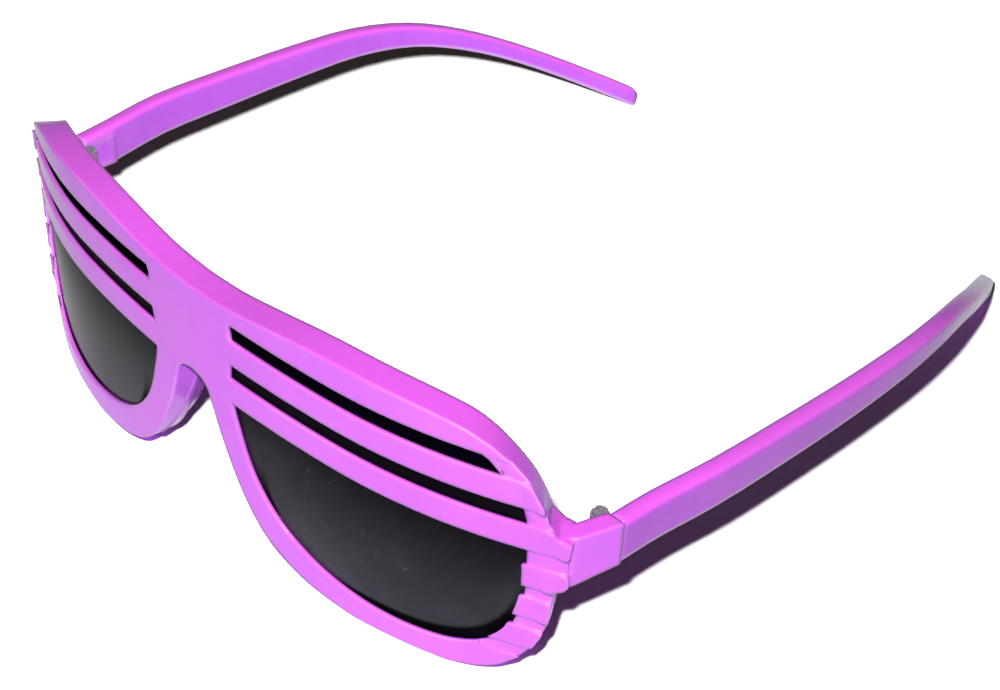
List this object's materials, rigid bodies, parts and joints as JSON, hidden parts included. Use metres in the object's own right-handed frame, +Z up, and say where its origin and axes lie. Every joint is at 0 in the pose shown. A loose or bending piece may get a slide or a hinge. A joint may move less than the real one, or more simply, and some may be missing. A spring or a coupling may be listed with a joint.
{
  "type": "slatted novelty glasses",
  "caption": "Wrap-front novelty glasses: slatted covers over two dark lenses, ridged outer rims, moulded nose pads and folding temples.",
  "frame": {"origin": "middle of the bounding box in plan, on the table that the rims and the temple tips rest on", "axes": "+X to the side of the right-hand temple, +Y from the front towards the temple tips, +Z up"},
  "size_m": [0.1456, 0.159, 0.0503],
  "materials": {
    "frame_plastic": "moulded, softly glossy, violet pink",
    "lens": "smoke tint, darker at the top",
    "hinge_metal": "stamped sheet, dull",
    "screw_metal": "turned, dark"
  },
  "bodies": {
    "front": {"front_frame": "frame_plastic", "lens_right": "lens", "lens_left": "lens", "hinge_front_right": "hinge_metal", "hinge_front_left": "hinge_metal", "hinge_screw_right": "screw_metal", "hinge_screw_left": "screw_metal"},
    "right_temple": {"temple_right": "frame_plastic", "hinge_temple_right": "hinge_metal"},
    "left_temple": {"temple_left": "frame_plastic", "hinge_temple_left": "hinge_metal"}
  },
  "joints": [
    {"name": "fold_right", "type": "hinge", "parent": "front", "child": "right_temple", "pos_m": [0.06536, -0.05382, 0.0278], "axis": [0, 0, 1], "range_deg": [0, 84]},
    {"name": "fold_left", "type": "hinge", "parent": "front", "child": "left_temple", "pos_m": [-0.06536, -0.05382, 0.0278], "axis": [0, 0, -1], "range_deg": [0, 74]}
  ]
}
